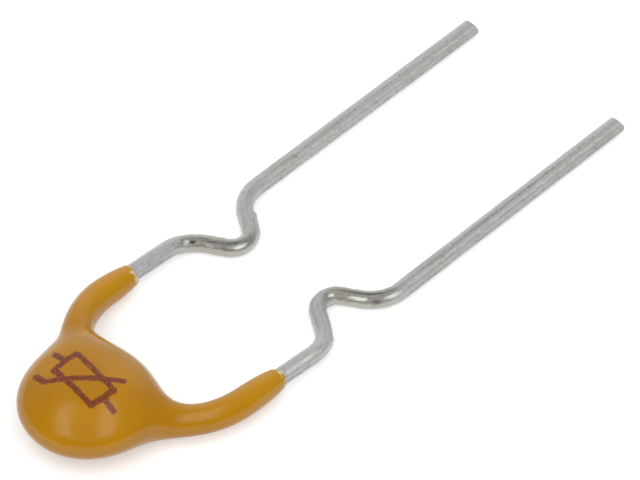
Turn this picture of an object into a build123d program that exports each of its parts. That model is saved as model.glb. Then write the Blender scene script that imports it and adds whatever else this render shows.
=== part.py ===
from build123d import *

import os
from math import cos, radians, sin, sqrt, tan

# A radial-leaded resettable fuse, lying as it rests: the straight ends of both leads and the belly of
# the body touch the table at Z = 0. The cut ends point along +Y and the right lead is on the +X side.
# Lengths are in millimetres and angles in degrees. Runs along the leads start at the kink's middle.

# Leads of round tinned wire
lead_pitch = 5.08
wire_diameter = 0.46
lead_reach = 9.63
left_cut_short = 0.13
tip_slant_angle = 34.0

# Formed kink that stands the body off a board
kink_depth = 1.17
kink_flank_angle = 58.0
kink_apex_radius = 0.50
kink_shoulder_radius = 1.05

# Behind the kink the leads climb, turn in towards the chip and step onto its faces
climb_angle = 4.7
turn_to_body = 1.79
left_turn_advance = 0.18
turn_angle = 50.0
turn_radius = 2.00
step_run = 0.70
step_radius = 0.45
step_to_chip_rim = 0.15
lead_lap_on_chip = 1.00

# Dip coat: a lens-shaped body with a horn along each lead
kink_to_body = 6.85
body_diameter = 3.50
body_thickness = 1.80
body_crown_radius = 3.20
crown_share = 0.5
coat_end_to_body = 4.05
coat_end_wall = 0.05
horn_diameter = 0.80
horn_root_share = 0.5
horn_blend_radius = 1.00
blend_clearance = 0.10

# Polymer chip, its foil electrodes and the solder
chip_diameter = 1.90
chip_thickness = 0.20
foil_thickness = 0.03
solder_film = 0.03
solder_length = 0.80
solder_width = 0.62
solder_height = 0.28
solder_taper_angle = 8.0
solder_past_lead = 0.10

# Share of its control points' reach that a symmetrical cubic curve attains
bezier_peak_share = 0.75

# Values that follow from the driving dimensions
wire_radius = wire_diameter / 2
horn_radius = horn_diameter / 2
body_radius = body_diameter / 2
body_half = body_thickness / 2
chip_radius = chip_diameter / 2
half_pitch = lead_pitch / 2
flank = radians(kink_flank_angle)
climb = radians(climb_angle)
turn = radians(turn_angle)
tip_slant = radians(tip_slant_angle)
tip_overhang = wire_radius * tan(tip_slant)

# The kink's corners lie deeper than its rounded apex
corner_depth = kink_depth + kink_apex_radius * (1 / cos(flank) - 1)
corner_run = corner_depth / tan(flank)

# The origin is under the middle of the overall length
kink_y = (kink_to_body + body_radius - lead_reach - tip_overhang) / 2
body_place = Pos(0, kink_y - kink_to_body, body_half)
foil_height = chip_thickness / 2 + foil_thickness
seat_height = foil_height + solder_film + wire_radius


class LeadRoute:
    """Centre line of one lead, on one side across X, that ends on one face of the chip.

    Both side and face are 1 towards the positive axis and -1 towards the negative one.
    """

    def __init__(self, side, face, reach, turn_to_body):
        self.side = side
        self.face = face
        self.reach = reach
        self.turn_to_body = turn_to_body
        self.kink_to_turn = kink_to_body - turn_to_body
        self.along_face = Vector(-side * sin(turn), -cos(turn), 0)
        rim_run = self.run_to_radius(chip_radius)
        self.step_end = rim_run - step_to_chip_rim
        self.step_start = self.step_end - step_run
        self.end_run = rim_run + lead_lap_on_chip

    def run_to_radius(self, radius):
        """The run past the turn at which the lead is this far from the body's axis."""
        nearest_run = half_pitch * sin(turn) + self.turn_to_body * cos(turn)
        miss = half_pitch * cos(turn) - self.turn_to_body * sin(turn)
        return nearest_run - sqrt(radius**2 - miss**2)

    def before_turn(self, run):
        height = wire_radius + (run - corner_run) * tan(climb)
        return Vector(self.side * half_pitch, kink_y - run, height)

    def past_turn(self, run, height=None):
        """A point past the turn, on the climb unless a height is given."""
        back = self.kink_to_turn + run * cos(turn)
        if height is None:
            height = self.before_turn(back).Z
        return Vector(self.side * (half_pitch - run * sin(turn)), kink_y - back, height)

    def on_face(self, run, height):
        return self.past_turn(run, body_half + self.face * height)

    def blend_room(self):
        """The largest round that meets the body's rim and the inside of the horn within its turn."""
        horn_gap = half_pitch - horn_radius
        depth = self.turn_to_body + turn_radius * tan(turn / 2) - blend_clearance
        return (horn_gap**2 + depth**2 - body_radius**2) / (horn_gap + body_radius) / 2

    def wire_path(self):
        straight_x = self.side * half_pitch
        corners = [
            (straight_x, kink_y + self.reach + tip_overhang, wire_radius),
            (straight_x, kink_y + corner_run, wire_radius),
            (self.side * (half_pitch - corner_depth), kink_y, wire_radius),
            self.before_turn(corner_run),
            self.before_turn(self.kink_to_turn),
            self.past_turn(self.step_start),
            self.on_face(self.step_end, seat_height),
            self.on_face(self.end_run, seat_height),
        ]
        kink_radii = [kink_shoulder_radius, kink_apex_radius, kink_shoulder_radius]
        return FilletPolyline(*corners, radius=kink_radii + [turn_radius, step_radius, step_radius])

    def horn_path(self):
        corners = [
            self.before_turn(kink_to_body - coat_end_to_body),
            self.before_turn(self.kink_to_turn),
            self.past_turn(self.run_to_radius(body_radius * horn_root_share)),
        ]
        return FilletPolyline(*corners, radius=turn_radius)


def rod(path, radius):
    return sweep(Plane(origin=path @ 0, z_dir=path % 0) * Circle(radius), path=path)


def make_lead(route):
    """One wire, cut off on the slant so that its lower edge reaches furthest."""
    path = route.wire_path()
    tip = path @ 0 - Vector(0, tip_overhang, 0)
    cut = Plane(origin=tip, x_dir=(1, 0, 0), z_dir=(0, cos(tip_slant), sin(tip_slant)))
    return split(rod(path, wire_radius), bisect_by=cut, keep=Keep.BOTTOM)


def make_horn(route):
    """The coat round one lead: full from the turn on, thinning to a skin along the straight run."""
    straight, bend, root = route.horn_path().edges().sort_by(Axis.Y, reverse=True)
    end_radius = wire_radius + coat_end_wall
    length = straight.length
    outline = Polyline((horn_radius, 0), (0, 0), (0, length), (end_radius, length))
    outline += Bezier((horn_radius, 0), (horn_radius, length / 2), (end_radius, length))
    taper = revolve(make_face(Plane.XZ * outline), Axis.Z)
    full = Wire([bend, root])
    return rod(full, horn_radius) + Plane(origin=straight @ 1, z_dir=-(straight % 1)) * taper


def make_body():
    """A lens turned from a round crown on each face and one curve round the rim."""
    crown_x = body_radius * crown_share
    crown_edge_rise = sqrt(body_crown_radius**2 - crown_x**2)
    crown_z = body_half - body_crown_radius + crown_edge_rise
    rim_reach = (body_radius - crown_x) / bezier_peak_share
    rim_fall = rim_reach * crown_x / crown_edge_rise
    outline = RadiusArc((0, body_half), (crown_x, crown_z), body_crown_radius)
    outline += Bezier(
        (crown_x, crown_z),
        (crown_x + rim_reach, crown_z - rim_fall),
        (crown_x + rim_reach, rim_fall - crown_z),
        (crown_x, -crown_z),
    )
    outline += RadiusArc((crown_x, -crown_z), (0, -body_half), body_crown_radius)
    outline += Line((0, -body_half), (0, body_half))
    return body_place * Rot(0, 0, -90) * revolve(make_face(Plane.XZ * outline), Axis.Z)


def make_coating(routes, inside):
    """The dip coat, hollow where the other pieces lie in it."""
    body = make_body()
    horns = [make_horn(route) for route in routes]
    joined = body + horns
    blend = min(horn_blend_radius, *(route.blend_room() for route in routes))
    coating = fillet(new_edges(body, *horns, combined=joined), blend)
    for piece in inside:
        coating -= piece
    return coating


def make_chip():
    return body_place * Cylinder(chip_radius, chip_thickness)


def make_foil(face):
    middle = face * (foil_height - foil_thickness / 2)
    return body_place * Pos(0, 0, middle) * Cylinder(chip_radius, foil_thickness)


def make_solder(route, lead):
    """A mound that carries the lead on a thin film and wraps its end."""
    middle = route.end_run + solder_past_lead - solder_length / 2
    seat = route.on_face(middle, foil_height)
    base = Plane(origin=seat, x_dir=route.along_face, z_dir=(0, 0, route.face))
    outline = base * SlotOverall(solder_length, solder_width)
    return extrude(outline, solder_height, taper=solder_taper_angle) - lead


left_route = LeadRoute(-1, 1, lead_reach - left_cut_short, turn_to_body + left_turn_advance)
right_route = LeadRoute(1, -1, lead_reach, turn_to_body)
lead_left = make_lead(left_route)
lead_right = make_lead(right_route)

nodes = {
    "lead_left": lead_left,
    "lead_right": lead_right,
    "ptc_chip": make_chip(),
    "foil_upper": make_foil(1),
    "foil_lower": make_foil(-1),
    "solder_upper": make_solder(left_route, lead_left),
    "solder_lower": make_solder(right_route, lead_right),
}
nodes["epoxy_coating"] = make_coating([left_route, right_route], nodes.values())

os.makedirs("parts", exist_ok=True)
for name, piece in nodes.items():
    export_step(piece, f"parts/{name}.step")
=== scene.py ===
from math import cos, pi, radians, sin, tan

import bpy
import numpy as np
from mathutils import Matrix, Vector


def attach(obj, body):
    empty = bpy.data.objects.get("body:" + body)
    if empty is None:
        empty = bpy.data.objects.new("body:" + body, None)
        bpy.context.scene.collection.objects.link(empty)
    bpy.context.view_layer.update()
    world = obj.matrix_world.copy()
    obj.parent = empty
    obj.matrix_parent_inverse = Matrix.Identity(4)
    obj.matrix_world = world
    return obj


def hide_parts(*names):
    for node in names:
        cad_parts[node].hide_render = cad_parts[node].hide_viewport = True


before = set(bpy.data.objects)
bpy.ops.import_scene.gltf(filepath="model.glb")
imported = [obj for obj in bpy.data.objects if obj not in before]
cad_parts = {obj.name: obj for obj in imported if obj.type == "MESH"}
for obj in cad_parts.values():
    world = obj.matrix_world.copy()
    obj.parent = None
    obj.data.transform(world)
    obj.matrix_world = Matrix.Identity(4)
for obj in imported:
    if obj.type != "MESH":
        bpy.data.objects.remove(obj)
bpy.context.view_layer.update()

# The looks of a radial-leaded resettable fuse: a glossy dip coat with a stamped circuit symbol, and
# tinned wire leads with the marks of the tool that formed them. Lengths are in millimetres in the
# part's own frame until a mesh, lamp or camera is made, and angles are given in degrees.
mm = 0.001
world_up = np.array([0.0, 0.0, 1.0])

# Leads, as in the solids, apart from a wider turn towards the body
half_pitch = 2.54
wire_radius = 0.23
lead_reach = 9.63
left_cut_short = 0.13
cad_tip_slant = radians(34.0)
kink_depth = 1.17
kink_flank = radians(58.0)
kink_apex_radius = 0.50
kink_shoulder_radius = 1.05
climb = radians(4.7)
turn = radians(50.0)
turn_radius = 2.40
turn_to_body = 1.79
left_turn_advance = 0.18
hidden_run = 1.20

# Coat, as in the solids
kink_to_body = 6.85
body_semi_axes = np.array([1.75, 1.75, 0.90])
coat_end_to_body = 4.05
horn_radius = 0.40

# Values that follow
cad_tip_overhang = wire_radius * tan(cad_tip_slant)
corner_depth = kink_depth + kink_apex_radius * (1 / cos(kink_flank) - 1)
corner_run = corner_depth / tan(kink_flank)
kink_y = (kink_to_body + body_semi_axes[1] - lead_reach - cad_tip_overhang) / 2
body_centre = np.array([0.0, kink_y - kink_to_body, body_semi_axes[2]])

# Finish of the wire: rings along it, points round it and its small unevenness
ring_spacing = 0.035
ring_points = 48
flat_share = 0.05
flat_length = 0.55
wire_wave = 0.004
wave_rates = (2.1, 5.3)
short_wave_share = 0.6
dimple_depth = 0.005
dimple_run = 2.2
dimple_rates = (13.0, 9.0)
dimple_counts = (2, -3)
dimple_least = 0.25
facet_lean_least = 0.2
facet_edge = 4
polish_edge = 6
kink_press_run = 1.50
tip_blend = 1.0
tip_round = 0.05
tip_round_steps = 6
tip_bevel = 0.255
tip_bevel_run = 0.20

# Marks of the forming tool on each lead. A run is from the kink's middle, towards the body where it
# is positive, and an angle is round the wire, with 90 on top and 180 on the side away from -X.
ridge_height = 0.045
ridge_fade = 0.35
ridge_angle = radians(185.0)
ridge_runs = {"left": -0.94, "right": 1.34}
# Runs that the dies have rubbed bright, from and to
polished = {"left": (-0.25, 1.80), "right": (-1.95, 0.15)}
# Facets: run, angle, depth and half length
facets = {
    "left": [(1.60, 124.0, 0.040, 0.16), (0.15, 124.0, 0.022, 0.28), (-1.45, 120.0, 0.018, 0.40)],
    "right": [(-0.14, 122.0, 0.024, 0.20), (-0.90, 124.0, 0.032, 0.22), (-1.67, 126.0, 0.026, 0.24)],
}
# Nicks: run, angle, depth, half length, half width and how dirty they are
nicks = {
    "left": [(1.42, 124.0, 0.040, 0.14, 0.06, 1.0), (0.55, 128.0, 0.012, 0.22, 0.06, 0.45)],
    "right": [(-0.48, 130.0, 0.014, 0.12, 0.07, 0.58), (-1.28, 128.0, 0.012, 0.20, 0.06, 0.45)],
}

# Painted glints and painted shade on the wire, near the kink and along it: run, angle, half length, half
# width and shade, from -1 for painted shade to 1 for a painted glint
painted_light_marks = {
    "left": [
        (0.25, 135.0, 0.20, 0.065, 1.0),
        (0.35, 104.0, 0.20, 0.05, -0.75),
        (0.85, 114.0, 0.42, 0.045, -0.80),
        (1.22, 94.0, 0.28, 0.045, -0.55),
        (0.54, 141.0, 0.15, 0.06, -0.70),
        (0.93, 141.0, 0.15, 0.05, 0.55),
        (1.60, 114.0, 0.10, 0.05, 0.95),
        (1.68, 142.0, 0.14, 0.08, 0.55),
        (-5.50, 99.0, 6.0, 0.035, -0.40),
        (2.60, 99.0, 0.60, 0.035, -0.15),
        (2.60, 165.0, 0.70, 0.08, -0.14),
    ],
    "right": [
        (-0.17, 126.0, 0.14, 0.05, 1.0),
        (-0.94, 133.0, 0.26, 0.055, 1.1),
        (-0.60, 92.0, 0.25, 0.045, -0.45),
        (-1.25, 94.0, 0.45, 0.05, -0.70),
        (-1.36, 148.0, 0.13, 0.11, -0.80),
        (-1.72, 138.0, 0.24, 0.065, 0.80),
        (-5.50, 99.0, 6.0, 0.035, -0.40),
        (2.50, 124.0, 0.70, 0.075, 0.27),
        (-6.00, 88.0, 5.0, 0.05, -0.30),
    ],
}

# Painted bands along the wire, clear of the kink, a painted sheen on its upper flank and painted shade
# low on its side: angle, half width and shade
streak_clear_run = 2.0
streak_edge = 6
painted_bands = {
    "left": [(133.0, 0.075, 0.47), (185.0, 0.11, -0.41)],
    "right": [(127.0, 0.075, 0.48), (182.0, 0.11, -0.43)],
}

# Small differences between the two leads and their ends of the coat
tip_slant = {"left": radians(23.0), "right": radians(26.0)}
tip_trim = {"left": -0.03, "right": -0.02}
tip_toe = {"left": 0.012, "right": 0.032}
wire_rise = {"left": 0.085, "right": 0.065}
horn_rise = {"left": 0.045, "right": 0.070}
rise_runs = [0.7, 1.7, 3.8, 5.6]
coat_blend = {"left": 1.40, "right": 1.35}
root_lift = {"left": 0.18, "right": 0.0}
coat_short = {"left": 0.08, "right": 0.0}
rim_lean = {"left": 0.35, "right": -1.0}
rim_lean_angle = radians(57.0)
rim_ripple = 0.5
rim_ripple_count = 3
rim_ripple_turn = 1.3

# Finish of the coat: mesh size, how far its parts reach, its ripple, its gloss and a duller place
coat_cell = 0.05
coat_margin = 3 * coat_cell
coat_slope_step = coat_cell / 10
coat_fit_passes = 2
horn_line_spacing = 4 * ring_spacing
body_shift = np.array([-0.014, -0.047, 0.0])
body_swell = 0.004
horn_root_run = 2.20
horn_end_radius = 0.28
horn_swell_run = 0.45
rim_wave = 0.06
rim_width = 0.15
coat_ripple = 0.006
ripple_waves = np.array([[1.9, 1.3, 0.7], [-1.1, 2.3, 1.7]])
ripple_lag = 1.0
near_horn = 0.15
far_from_end = 9.0
far_from_ink = 1.0
coat_ior = 1.46
coat_specular = 0.5
dull_place = np.array([-1.80, -6.35, 1.20])
dull_spread = 0.85
dull_full = 0.85
dull_specular = 0.04

# Circuit symbol on the crown: a box with leads and a bent stroke across it
mark_centre = np.array([-0.03, -0.12])
mark_box = np.array([0.74, 0.36])
mark_lead = 0.42
mark_slope = np.array([0.64, 0.74])
mark_foot = 0.34
mark_half_stroke = 0.080
mark_turn = radians(-6.0)

# Camera: as far off as a long lens, at the photograph's angle and scale
image_width = 640
camera_azimuth = radians(44.39)
camera_elevation = radians(47.50)
camera_distance = 200.0
pixels_per_mm = 39.66
camera_target = np.array([-0.110, kink_y + 1.40, wire_radius])
sensor_width = 36.0
camera_clip = 10.0
view_right = np.array([cos(camera_azimuth), sin(camera_azimuth), 0.0])
view_ahead = np.array([-sin(camera_azimuth), cos(camera_azimuth), 0.0])

# Light: two strips overhead, a sky that is brighter on the far side, and a fill that mirrors don't show.
# Each strip has its place aside and its width.
strips = {"strip_left": (-43.0, 34.0), "strip_right": (30.0, 28.0)}
strip_length = 131.0
strip_height = 93.5
strip_ahead = -11.8
strip_tilt = radians(44.0)
strip_glow = 1.35
near_glow = 0.14
far_glow = 0.55
near_side = -0.2
band_glow = 0.50
band_elevation = radians(20.0)
band_spread = radians(45.0)
fill_glow = 1.60
fill_spread = radians(70.0)
fill_rise = 1.6
floor_half_size = 400.0
floor_white = (0.84, 0.84, 0.84, 1)
floor_lift = 0.38


def unit(vector):
    return vector / np.linalg.norm(vector)


def rounded(corners, radii, spacing):
    """Points along straight runs that are joined by arcs, with one radius for each inner corner."""
    runs = [np.array(corners[0], float)]
    points = []
    for before, corner, after, radius in zip(corners, corners[1:], corners[2:], radii):
        corner = np.array(corner, float)
        back, ahead = unit(before - corner), unit(after - corner)
        half = np.arccos(np.clip(back @ ahead, -1, 1)) / 2
        start = corner + back * radius / tan(half)
        centre = corner + unit(back + ahead) * radius / sin(half)
        points += straight_points(runs[-1], start, spacing)
        sweep = pi - 2 * half
        out = unit(start - centre)
        for angle in np.linspace(0, sweep, max(3, int(radius * sweep / spacing)))[:-1]:
            points.append(centre + radius * (out * cos(angle) - back * sin(angle)))
        runs.append(corner + ahead * radius / tan(half))
    end = np.array(corners[-1], float)
    return np.array(points + straight_points(runs[-1], end, spacing) + [end])


def straight_points(start, end, spacing):
    count = max(1, int(np.linalg.norm(end - start) / spacing))
    return [start + (end - start) * share for share in np.arange(count) / count]


def run_lengths(points):
    return np.concatenate([[0], np.cumsum(np.linalg.norm(np.diff(points, axis=0), axis=1))])


class Lead:
    """Centre line of one lead: side is -1 for the left one and 1 for the right one."""

    def __init__(self, name, side, reach, turn_to_body):
        self.name = name
        self.side = side
        tip_overhang = wire_radius * tan(tip_slant[name])
        self.tip_y = kink_y + reach - tip_trim[name] + tip_overhang
        self.kink_to_turn = kink_to_body - turn_to_body

    def behind_kink(self, run):
        height = wire_radius + (run - corner_run) * tan(climb)
        return np.array([self.side * half_pitch, kink_y - run, height])

    def past_turn(self, run):
        point = self.behind_kink(self.kink_to_turn + run * cos(turn))
        return point - np.array([self.side * run * sin(turn), 0, 0])

    def wire_line(self):
        x = self.side * half_pitch
        corners = [
            np.array([x - self.side * tip_toe[self.name], self.tip_y, wire_radius]),
            np.array([x, kink_y + corner_run, wire_radius]),
            np.array([x - self.side * corner_depth, kink_y, wire_radius]),
            self.behind_kink(corner_run),
            self.behind_kink(self.kink_to_turn),
            self.past_turn(hidden_run),
        ]
        radii = [kink_shoulder_radius, kink_apex_radius, kink_shoulder_radius, turn_radius]
        return risen(rounded(corners, radii, ring_spacing), wire_rise[self.name])

    def horn_line(self, spacing):
        corners = [
            self.behind_kink(kink_to_body - coat_end_to_body + coat_short[self.name]),
            self.behind_kink(self.kink_to_turn),
            self.past_turn(horn_root_run) + root_lift[self.name] * horn_root_run * world_up,
        ]
        return risen(rounded(corners, [turn_radius], spacing), horn_rise[self.name])


def risen(points, height):
    """Lifts the points between the kink and the body, where the wire was bent up a little more."""
    share = np.interp(kink_y - points[:, 1], rise_runs, [0, 1, 1, 0])
    return points + (height * (1 - np.cos(pi * share)) / 2)[:, None] * world_up


leads = [
    Lead("left", -1, lead_reach - left_cut_short, turn_to_body + left_turn_advance),
    Lead("right", 1, lead_reach, turn_to_body),
]


def add_object(name, data):
    made = bpy.data.objects.new(name, data)
    bpy.context.scene.collection.objects.link(made)
    return made


def make_object(name, points, faces, smooth=True):
    """A mesh object from points in millimetres."""
    mesh = bpy.data.meshes.new(name)
    mesh.from_pydata([tuple(p) for p in np.asarray(points) * mm], [], faces)
    mesh.polygons.foreach_set("use_smooth", [smooth] * len(mesh.polygons))
    mesh.update()
    return add_object(name, mesh)


def add_values(made, name, values):
    """Stores one number or one vector for each point, for the materials to read."""
    values = np.asarray(values, np.float32)
    if values.ndim == 1:
        made.data.attributes.new(name, "FLOAT", "POINT").data.foreach_set("value", values)
    else:
        layer = made.data.attributes.new(name, "FLOAT_VECTOR", "POINT")
        layer.data.foreach_set("vector", values.ravel())


def bump_at(distance, length):
    """1 at a place and 0 well away from it."""
    return np.exp(-((distance / length) ** 2))


def spot(run, angles, place, facing, length, width):
    """1 in the middle of a mark on the wire and 0 well away from it."""
    return bump_at(run - place, length) * bump_at((angles - radians(facing)) * wire_radius, width)


def painted_wire_light(lead, run, angles):
    """Painted light on the wire at each run and angle: painted glints above 0 and painted shade below it.
    """
    painted_light = sum(share * spot(run, angles, *mark) for *mark, share in painted_light_marks[lead.name])
    clear = 1 - np.exp(-((run / streak_clear_run) ** streak_edge))
    for facing, width, share in painted_bands[lead.name]:
        painted_light = painted_light + share * clear * bump_at((angles - radians(facing)) * wire_radius, width)
    return painted_light


def wire_radii(lead, run, angles):
    """The wire's radius at each run and angle, and how much of a nick's dirt lies there."""
    long, short = [np.sin(rate * run + lag * lead.side) for rate, lag in zip(wave_rates, (1, 2))]
    wave = long + short_wave_share * short
    radii = np.repeat(wire_radius + wire_wave / 2 * wave, ring_points, 1)
    # The dies leave the wire dimpled near the kink
    first, second = [rate * run + count * angles for rate, count in zip(dimple_rates, dimple_counts)]
    dimples = np.sin(first) * np.sin(second + lead.side)
    radii = radii - dimple_depth * (dimple_least + bump_at(run, dimple_run)) * dimples
    # A die's edge stops in a ridge that fades towards the body
    past = run - ridge_runs[lead.name]
    fade = np.where(past > 0, np.exp(-np.maximum(past, 0) / ridge_fade), 0)
    radii = radii + ridge_height * fade * np.clip(np.cos(angles - ridge_angle), 0, 1) ** 2
    for place, facing, depth, length in facets[lead.name]:
        lean = np.cos(angles - radians(facing))
        flat = wire_radius - depth * np.exp(-(((run - place) / length) ** facet_edge))
        cut = np.minimum(radii, flat / np.maximum(lean, facet_lean_least))
        radii = np.where(lean > facet_lean_least, cut, radii)
    dirt = np.zeros_like(radii)
    for place, facing, depth, length, width, dirty in nicks[lead.name]:
        nick = spot(run, angles, place, facing, length, width)
        radii = radii - depth * nick
        dirt = np.maximum(dirt, dirty * nick)
    return radii, dirt


def make_wire(lead):
    line = lead.wire_line()
    along = run_lengths(line)
    tangents = np.gradient(line, along, axis=0)
    tangents /= np.linalg.norm(tangents, axis=1)[:, None]
    # Up stays up along the lead, so the angle round the wire means the same everywhere
    across = np.cross(tangents, world_up)
    across /= np.linalg.norm(across, axis=1)[:, None]
    upward = np.cross(across, tangents)
    angles = np.arange(ring_points) * 2 * pi / ring_points
    run = along - along[np.argmin(np.abs(line[:, 1] - kink_y))]
    radii, dirt = wire_radii(lead, run[:, None], angles[None, :])
    # The forming dies also press the wire a little flat at the two shoulders and at the apex
    press = sum(bump_at(run - place, flat_length) for place in (-kink_press_run, 0, kink_press_run))
    rings_x = radii * np.cos(angles) * (1 - flat_share * press)[:, None]
    rings_z = radii * np.sin(angles) * (1 + flat_share * press)[:, None]
    points = line[:, None] + rings_x[..., None] * across[:, None] + rings_z[..., None] * upward[:, None]
    points[..., 2] = np.maximum(points[..., 2], 0)
    unrolled = np.stack([np.repeat(along[:, None], ring_points, 1), rings_x, rings_z], axis=-1)
    first, last = polished[lead.name]
    polish = np.exp(-(((2 * run - first - last) / (last - first)) ** polish_edge))
    polish = np.repeat(polish[:, None], ring_points, 1)
    # Painted glints and painted shade, stored with the wire for its material
    painted_light = painted_wire_light(lead, run[:, None], angles[None, :])
    layers = [unrolled, dirt[..., None], polish[..., None], painted_light[..., None]]
    points, (unrolled, dirt, polish, painted_light), faces = close_wire(slant_tip(points, lead), layers)
    made = make_object("wire_" + lead.name, points, faces)
    add_values(made, "unrolled", unrolled)
    add_values(made, "dirt", dirt[:, 0])
    add_values(made, "polish", polish[:, 0])
    add_values(made, "painted_light", painted_light[:, 0])
    return made


def slant_tip(points, lead):
    """Bevels the free end from below and slides its rings into a slanted cut, lower edge foremost."""
    behind = lead.tip_y - points[..., 1]
    points[..., 2] = np.maximum(points[..., 2], tip_bevel * (1 - behind / tip_bevel_run))
    near = np.clip(1 - behind / tip_blend, 0, 1)
    points[..., 1] -= near * points[..., 2] * tan(tip_slant[lead.name])
    return points


def end_rings(points):
    """Rings that round the edge of the cut, from the wire's side to its flat face."""
    middle = points[0].mean(axis=0)
    rings = []
    for angle in np.linspace(0, pi / 2, tip_round_steps):
        inset, recess = tip_round * (1 - cos(angle)), tip_round * (1 - sin(angle))
        ring = middle + (points[0] - middle) * (1 - inset / wire_radius)
        ring[:, 1] -= recess
        rings.append(ring)
    return rings[::-1]


def close_wire(points, layers):
    """Adds a rounded cut and caps to the points and their stored values, and lists the faces."""
    cut = end_rings(points)
    points = capped(np.concatenate([cut, points[2:]]))
    layers = [capped(np.concatenate([np.repeat(layer[:1], len(cut), 0), layer[2:]])) for layer in layers]
    count = ring_points
    front, rear = len(points) - 2, len(points) - 1
    last = front - count
    faces = []
    for step in range(count):
        after = (step + 1) % count
        for ring in range(0, front - count, count):
            a, b = ring + step, ring + after
            faces.append((a, a + count, b + count, b))
        faces.append((step, after, front))
        faces.append((last + after, last + step, rear))
    return points, layers, faces


def capped(rings):
    """Rings laid out one after the other, and then the middles of the first and the last."""
    middles = [rings[0].mean(axis=0), rings[-1].mean(axis=0)]
    return np.vstack([rings.reshape(-1, rings.shape[-1]), middles])


def ellipsoid_gap(points):
    """Distance from the body's lens, close to true near its surface."""
    offset = points - body_centre - body_shift
    scaled = np.linalg.norm(offset / body_semi_axes, axis=-1)
    slope = np.linalg.norm(offset / body_semi_axes**2, axis=-1)
    return scaled * (scaled - 1) / np.maximum(slope, 1e-9) - body_swell


def horn_gap(points, lead):
    """Distance from the coat round one lead, and the run from the coat's uneven end."""
    line = lead.horn_line(horn_line_spacing)
    gap = np.full(points.shape[:-1], np.inf)
    for start, end, before in zip(line, line[1:], run_lengths(line)):
        step = end - start
        length = np.linalg.norm(step)
        share = np.clip((points - start) @ step / length**2, 0, 1)
        swell = 1 - np.exp(-(before + share * length) / horn_swell_run)
        radius = horn_end_radius + (horn_radius - horn_end_radius) * swell
        spoke = points - start - share[..., None] * step
        gap = np.minimum(gap, np.linalg.norm(spoke, axis=-1) - radius)
    # The coat creeps further along some sides of the wire than along others
    offset = points - line[0]
    angle = np.arctan2(offset[..., 2], offset[..., 0])
    wave = rim_lean[lead.name] * np.cos(angle - rim_lean_angle)
    wave = wave + rim_ripple * np.sin(rim_ripple_count * angle + rim_ripple_turn * lead.side)
    run = offset @ unit(line[1] - line[0]) - rim_wave * wave
    return np.maximum(gap, -run), run


def soft_union(a, b, blend):
    near = np.maximum(blend - np.abs(a - b), 0) / blend
    return np.minimum(a, b) - near**3 * blend / 6


def coat_gap(points):
    gap = ellipsoid_gap(points)
    for lead in leads:
        gap = soft_union(gap, horn_gap(points, lead)[0], coat_blend[lead.name])
    return gap


def coat_normals(points):
    steps = coat_slope_step * np.eye(3)
    slopes = np.stack([coat_gap(points + step) - coat_gap(points - step) for step in steps], axis=-1)
    return slopes / np.linalg.norm(slopes, axis=-1, keepdims=True)


def surface_net(low, high):
    """Points and faces where the coat's distance changes sign on a grid of cells."""
    counts = np.ceil((high - low) / coat_cell).astype(int) + 1
    axes = [low[i] + coat_cell * np.arange(counts[i]) for i in range(3)]
    grid = np.stack(np.meshgrid(*axes, indexing="ij"), axis=-1)
    gaps = np.stack([coat_gap(layer) for layer in grid])
    inside = gaps < 0
    corners = [(i, j, k) for i in (0, 1) for j in (0, 1) for k in (0, 1)]
    size = [n - 1 for n in counts]

    def corner_view(values, corner):
        return values[tuple(slice(c, c + n) for c, n in zip(corner, size))]

    filled = sum(corner_view(inside, c).astype(int) for c in corners)
    crossed = (filled > 0) & (filled < 8)
    total = np.zeros(tuple(size) + (3,))
    weight = np.zeros(tuple(size))
    for axis in range(3):
        for corner in corners:
            if corner[axis]:
                continue
            other = tuple(1 if i == axis else c for i, c in enumerate(corner))
            a, b = corner_view(gaps, corner), corner_view(gaps, other)
            cut = (a < 0) != (b < 0)
            share = np.where(cut, a / np.where(cut, a - b, 1), 0)
            place = np.array(corner, float) + share[..., None] * np.eye(3)[axis]
            total += np.where(cut[..., None], place, 0)
            weight += cut
    number = np.full(tuple(size), -1)
    number[crossed] = np.arange(crossed.sum())
    cells = np.argwhere(crossed)
    points = low + coat_cell * (cells + total[crossed] / weight[crossed][:, None])
    return points, net_faces(inside, number)


def net_faces(inside, number):
    """One four-sided face for each grid edge that the surface crosses."""
    faces = []
    for axis in range(3):
        u, v = (axis + 1) % 3, (axis + 2) % 3
        ahead = np.roll(inside, -1, axis)
        cut = np.argwhere(inside != ahead)
        for place in cut:
            if place[axis] >= number.shape[axis] or min(place[u], place[v]) < 1:
                continue
            around = []
            for step_u, step_v in ((-1, -1), (0, -1), (0, 0), (-1, 0)):
                cell = place.copy()
                cell[u] += step_u
                cell[v] += step_v
                around.append(int(number[tuple(cell)]))
            faces.append(tuple(around if inside[tuple(place)] else around[::-1]))
    return faces


def segment_gap(points, start, end):
    start, end = np.array(start), np.array(end)
    step = end - start
    share = np.clip((points - start) @ step / (step @ step), 0, 1)
    return np.linalg.norm(points - start - share[:, None] * step, axis=1)


def mark_gap(points):
    """Distance from the strokes of the symbol as seen from above, and far away below the crown."""
    flat = points[:, :2] - body_centre[:2] - mark_centre
    spin = np.array([[cos(mark_turn), -sin(mark_turn)], [sin(mark_turn), cos(mark_turn)]])
    flat = flat @ spin
    wide, tall = mark_box
    rise = mark_slope
    strokes = [
        ((-wide, -tall), (wide, -tall)),
        ((-wide, tall), (wide, tall)),
        ((-wide, -tall), (-wide, tall)),
        ((wide, -tall), (wide, tall)),
        ((-wide - mark_lead, 0), (-wide, 0)),
        ((wide, 0), (wide + mark_lead, 0)),
        (-rise, rise),
        (-rise, (-rise[0] - mark_foot, -rise[1])),
    ]
    gap = np.min([segment_gap(flat, *stroke) for stroke in strokes], axis=0) - mark_half_stroke
    return np.where(points[:, 2] > body_centre[2], gap, far_from_ink)


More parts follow.
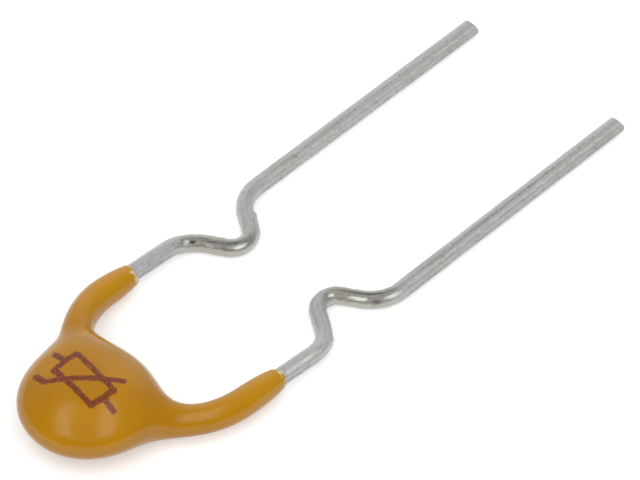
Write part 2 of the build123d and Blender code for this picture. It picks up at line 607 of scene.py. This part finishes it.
def make_coat():
    side = half_pitch + horn_radius
    front = kink_y - (kink_to_body - coat_end_to_body) + rim_wave * 2
    low = np.array([-side, body_centre[1] - body_semi_axes[1], 0]) - coat_margin
    high = np.array([side, front, 2 * body_semi_axes[2]]) + coat_margin
    points, faces = surface_net(low, high)
    for _ in range(coat_fit_passes):
        points = points - coat_gap(points)[:, None] * coat_normals(points)
    ripple = np.sin(points @ ripple_waves[0]) + np.sin(points @ ripple_waves[1] + ripple_lag)
    points = points + coat_normals(points) * (coat_ripple * ripple / 2 - coat_ripple)[:, None]
    points[:, 2] = np.maximum(points[:, 2], 0)
    made = make_object("coat", points, faces)
    runs = []
    for lead in leads:
        gap, run = horn_gap(points, lead)
        runs.append(np.where(gap < near_horn, run, far_from_end))
    add_values(made, "run_from_end", np.min(runs, axis=0))
    add_values(made, "ink_gap", mark_gap(points))
    add_values(made, "dull", bump_at(np.linalg.norm(points - dull_place, axis=1), dull_spread))
    return made


class Nodes:
    """The node tree of a material or of the world, with short calls to add and join nodes."""

    def __init__(self, owner, shader="Principled BSDF"):
        owner.use_nodes = True
        self.tree = owner.node_tree
        self.shader = self.tree.nodes[shader]

    def add(self, kind, **settings):
        node = self.tree.nodes.new(kind)
        for key, value in settings.items():
            setattr(node, key, value)
        return node

    def feed(self, socket, value):
        """Joins another node's output to a socket, or sets a plain value on it."""
        if isinstance(value, bpy.types.NodeSocket):
            self.tree.links.new(value, socket)
        else:
            socket.default_value = value

    def set(self, **values):
        for name, value in values.items():
            self.feed(self.shader.inputs[name.replace("_", " ")], value)

    def place(self, attribute=None, scale=(1, 1, 1)):
        """Coordinates from a stored vector, or from the object itself, scaled."""
        mapping = self.add("ShaderNodeMapping")
        if attribute:
            source = self.add("ShaderNodeAttribute", attribute_name=attribute).outputs["Vector"]
        else:
            source = self.add("ShaderNodeTexCoord").outputs["Object"]
        self.feed(mapping.inputs["Vector"], source)
        self.feed(mapping.inputs["Scale"], scale)
        return mapping.outputs["Vector"]

    def number(self, attribute):
        return self.add("ShaderNodeAttribute", attribute_name=attribute).outputs["Fac"]

    def noise(self, place, scale, detail=3.0, rough=0.5):
        node = self.add("ShaderNodeTexNoise")
        for key, value in (("Vector", place), ("Scale", scale), ("Detail", detail), ("Roughness", rough)):
            self.feed(node.inputs[key], value)
        return node.outputs["Fac"]

    def remap(self, value, low, high, to_low=0.0, to_high=1.0):
        node = self.add("ShaderNodeMapRange")
        for socket, setting in zip(node.inputs, (value, low, high, to_low, to_high)):
            self.feed(socket, setting)
        return node.outputs["Result"]

    def math(self, operation, a, b):
        node = self.add("ShaderNodeMath", operation=operation)
        self.feed(node.inputs[0], a)
        self.feed(node.inputs[1], b)
        return node.outputs[0]

    def dot(self, vector, axis):
        node = self.add("ShaderNodeVectorMath", operation="DOT_PRODUCT")
        self.feed(node.inputs[0], vector)
        self.feed(node.inputs[1], tuple(axis))
        return node.outputs["Value"]

    def mix(self, share, a, b):
        """A colour between a and b, each a colour or another node's output."""
        node = self.add("ShaderNodeMix", data_type="RGBA")
        colours = [socket for socket in node.inputs if socket.type == "RGBA"]
        self.feed(node.inputs["Factor"], share)
        self.feed(colours[0], a)
        self.feed(colours[1], b)
        return next(socket for socket in node.outputs if socket.type == "RGBA")

    def bump(self, height, strength, depth):
        node = self.add("ShaderNodeBump")
        for key, value in (("Height", height), ("Strength", strength), ("Distance", depth * mm)):
            self.feed(node.inputs[key], value)
        self.set(Normal=node.outputs["Normal"])


def srgb(red, green, blue):
    """A colour as it shows on a screen, 0 to 255, turned into light."""
    shares = [value / 255 for value in (red, green, blue)]
    return tuple(s / 12.92 if s <= 0.04045 else ((s + 0.055) / 1.055) ** 2.4 for s in shares) + (1.0,)


amber = srgb(191, 132, 8)
amber_deep = srgb(181, 122, 6)
amber_thin = srgb(200, 143, 14)
amber_pale = srgb(196, 140, 30)
coat_cream = srgb(222, 206, 160)
ink_brown = srgb(118, 54, 34)
tin_grey = srgb(206, 206, 208)
tin_warm = srgb(202, 200, 194)
# Dark tin for the drawn lines and specks and for painted shade, then a pale tin for painted highlights
tin_dark_and_shade = srgb(112, 108, 106)
painted_tin_highlight = srgb(240, 239, 232)
tin_olive = srgb(176, 174, 160)
dirt_dark = srgb(92, 76, 72)
chip_dark, chip_light = srgb(28, 28, 28), srgb(48, 48, 47)
foil_dark, foil_light = srgb(150, 146, 134), srgb(176, 172, 160)
solder_dark, solder_light = srgb(158, 160, 162), srgb(186, 188, 190)


def epoxy_material():
    material = bpy.data.materials.new("epoxy")
    n = Nodes(material)
    place = n.place(scale=(1 / mm,) * 3)
    clouds, flecks = n.noise(place, 0.7), n.noise(place, 9.0)
    run_from_end = n.number("run_from_end")
    colour = n.mix(n.remap(clouds, 0.35, 0.65), amber_deep, amber)
    colour = n.mix(n.remap(flecks, 0.60, 0.85, 0.0, 0.25), colour, amber_pale)
    # The thinner coat along the leads is lighter
    colour = n.mix(n.remap(run_from_end, 0.8, 3.0, 0.8, 0.0), colour, amber_thin)
    # The coat thins to a pale, broken line where it ends on the wire
    creep = n.remap(n.noise(place, 4.5, 4.0, 0.6), 0.40, 0.60, 0.0, rim_width)
    thin = n.remap(n.math("SUBTRACT", run_from_end, creep), -0.02, 0.02, 1.0, 0.0)
    colour = n.mix(thin, colour, coat_cream)
    # Stamped ink with a soft, patchy edge
    blot = n.math("MULTIPLY", n.noise(place, 11.0, 4.0, 0.6), 0.10)
    inked = n.remap(n.math("ADD", n.number("ink_gap"), blot), 0.03, 0.07, 1.0, 0.0)
    worn = n.remap(n.noise(place, 14.0), 0.30, 0.55, 0.70, 0.98)
    colour = n.mix(n.math("MULTIPLY", inked, worn), colour, ink_brown)
    n.set(Base_Color=colour, IOR=coat_ior)
    # The coat set duller where it drew together at the left neck
    specular = n.remap(n.number("dull"), 0.0, dull_full, coat_specular, dull_specular)
    n.set(Specular_IOR_Level=specular)
    n.set(Roughness=n.remap(n.noise(place, 2.0), 0.3, 0.7, 0.15, 0.21))
    n.bump(n.noise(place, 3.0, 4.0), 0.10, 0.02)
    return material


def tin_material():
    material = bpy.data.materials.new("tinned_wire")
    n = Nodes(material)
    drawn = n.noise(n.place("unrolled", scale=(0.5, 16.0, 16.0)), 1.0, 5.0, 0.6)
    grain = n.noise(n.place("unrolled", scale=(9.0, 14.0, 14.0)), 1.0, 5.0, 0.7)
    patches = n.noise(n.place("unrolled", scale=(1.2, 4.0, 4.0)), 1.0, 3.0)
    specks = n.noise(n.place("unrolled", scale=(5.0, 11.0, 11.0)), 1.0, 4.0, 0.65)
    colour = n.mix(n.remap(patches, 0.40, 0.68), tin_grey, tin_warm)
    colour = n.mix(n.remap(drawn, 0.52, 0.70, 0.0, 0.25), colour, tin_dark_and_shade)
    colour = n.mix(n.remap(specks, 0.62, 0.72, 0.0, 0.75), colour, tin_dark_and_shade)
    # The dies leave the kink brighter than the drawn wire, and its colour there is mixed towards a darker
    # olive grey
    polish = n.number("polish")
    colour = n.mix(n.math("MULTIPLY", polish, 0.7), colour, tin_olive)
    # Painted highlights and painted shade, with edges that the grain breaks up
    painted_light = n.math("ADD", n.number("painted_light"), n.remap(grain, 0.3, 0.7, -0.25, 0.25))
    colour = n.mix(n.remap(painted_light, -0.15, -0.80, 0.0, 0.85), colour, tin_dark_and_shade)
    painted_highlight = n.remap(painted_light, 0.25, 0.80)
    colour = n.mix(painted_highlight, colour, painted_tin_highlight)
    smudge = n.math("ADD", n.number("dirt"), specks)
    n.set(Base_Color=n.mix(n.remap(smudge, 1.0, 1.18, 0.0, 0.85), colour, dirt_dark))
    satin = n.remap(drawn, 0.3, 0.7, 0.42, 0.54)
    n.set(Roughness=n.math("SUBTRACT", satin, n.math("MULTIPLY", polish, 0.18)))
    metal = n.remap(polish, 0.0, 1.0, 0.6, 0.8)
    # Less metal where a highlight is painted, so it stays pale whatever the wire mirrors
    n.set(Metallic=n.math("MULTIPLY", metal, n.remap(painted_highlight, 0.0, 1.0, 1.0, 0.3)))
    n.bump(n.math("ADD", drawn, n.math("MULTIPLY", grain, 0.8)), 0.6, 0.03)
    return material


def inner_material(name, dark, light, metallic, rough, grain):
    """A plain material with fine grain, for the pieces that are sealed in the coat."""
    material = bpy.data.materials.new(name)
    n = Nodes(material)
    speckle = n.noise(n.place(scale=(1 / mm,) * 3), grain, 4.0)
    n.set(Base_Color=n.mix(n.remap(speckle, 0.35, 0.65), dark, light), Metallic=metallic)
    n.set(Roughness=n.remap(speckle, 0.3, 0.7, rough - 0.06, rough + 0.06))
    n.bump(speckle, 0.3, 0.01)
    return material


def dress(piece, material):
    piece.data.materials.clear()
    piece.data.materials.append(material)


def build_pieces():
    coat = make_coat()
    dress(coat, epoxy_material())
    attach(coat, "root")
    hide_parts("epoxy_coating")
    tin = tin_material()
    for lead in leads:
        wire = make_wire(lead)
        dress(wire, tin)
        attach(wire, "root")
        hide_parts("lead_" + lead.name)
    chip = inner_material("chip_polymer", chip_dark, chip_light, metallic=0.0, rough=0.7, grain=12.0)
    foil = inner_material("nickel_foil", foil_dark, foil_light, metallic=1.0, rough=0.4, grain=9.0)
    solder = inner_material("solder", solder_dark, solder_light, metallic=1.0, rough=0.3, grain=6.0)
    inner = {"ptc_chip": chip, "foil": foil, "solder": solder}
    for name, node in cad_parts.items():
        for start, material in inner.items():
            if name.startswith(start):
                dress(node, material)


def floor_material():
    """White to the eye and in reflections, and still shaded where the object keeps light off it."""
    material = bpy.data.materials.new("floor")
    n = Nodes(material)
    path = n.add("ShaderNodeLightPath").outputs
    seen = n.math("MAXIMUM", path["Is Camera Ray"], path["Is Glossy Ray"])
    seen = n.math("MAXIMUM", seen, path["Is Transmission Ray"])
    n.set(Base_Color=floor_white, Roughness=0.9, Specular_IOR_Level=0.0)
    n.set(Emission_Color=(1, 1, 1, 1), Emission_Strength=n.math("MULTIPLY", seen, floor_lift))
    return material


def make_floor():
    size = floor_half_size
    corners = [(-size, -size, 0), (size, -size, 0), (size, size, 0), (-size, size, 0)]
    floor = make_object("floor", corners, [(0, 1, 2, 3)], smooth=False)
    dress(floor, floor_material())


def aim(thing, place, target):
    """Puts a lamp or the camera at a place, in millimetres, facing a target."""
    thing.location = Vector(place) * mm
    thing.rotation_mode = "QUATERNION"
    thing.rotation_quaternion = (Vector(target) - Vector(place)).to_track_quat("-Z", "Y")


def add_strip(name, aside, width):
    """A soft strip that leans over the object along the view, with its near end lower."""
    data = bpy.data.lights.new(name, "AREA")
    data.shape = "RECTANGLE"
    data.size, data.size_y = width * mm, strip_length * mm
    data.energy = strip_glow * pi * data.size * data.size_y
    strip = add_object(name, data)
    offset = aside * view_right + strip_ahead * view_ahead + strip_height * world_up
    strip.location = Vector(body_centre + offset) * mm
    strip.rotation_euler = (strip_tilt, 0, camera_azimuth)


def light_scene():
    world = bpy.data.worlds.new("studio")
    n = Nodes(world, "Background")
    direction = n.add("ShaderNodeTexCoord").outputs["Generated"]
    sky = n.remap(n.dot(direction, view_ahead), near_side, 1.0, near_glow, far_glow)
    low = world_up * sin(band_elevation) + view_ahead * cos(band_elevation)
    band = n.remap(n.dot(direction, low), cos(band_spread), 1.0, 0.0, band_glow)
    n.set(Color=(1, 1, 1, 1), Strength=n.math("ADD", sky, band))
    bpy.context.scene.world = world
    for name, (aside, width) in strips.items():
        add_strip(name, aside, width)
    fill = bpy.data.lights.new("fill", "SUN")
    fill.energy = fill_glow
    fill.angle = fill_spread
    lamp = add_object("fill", fill)
    aim(lamp, body_centre + strip_height * (fill_rise * world_up - view_ahead), body_centre)
    lamp.visible_glossy = False


def place_camera():
    data = bpy.data.cameras.new("camera")
    data.sensor_width = sensor_width
    data.lens = pixels_per_mm * camera_distance / image_width * sensor_width
    data.clip_start = camera_clip * mm
    camera = add_object("camera", data)
    back = world_up * sin(camera_elevation) - view_ahead * cos(camera_elevation)
    aim(camera, camera_target + camera_distance * back, camera_target)
    bpy.context.scene.camera = camera


build_pieces()
make_floor()
light_scene()
place_camera()
bpy.context.scene.view_settings.view_transform = "Standard"
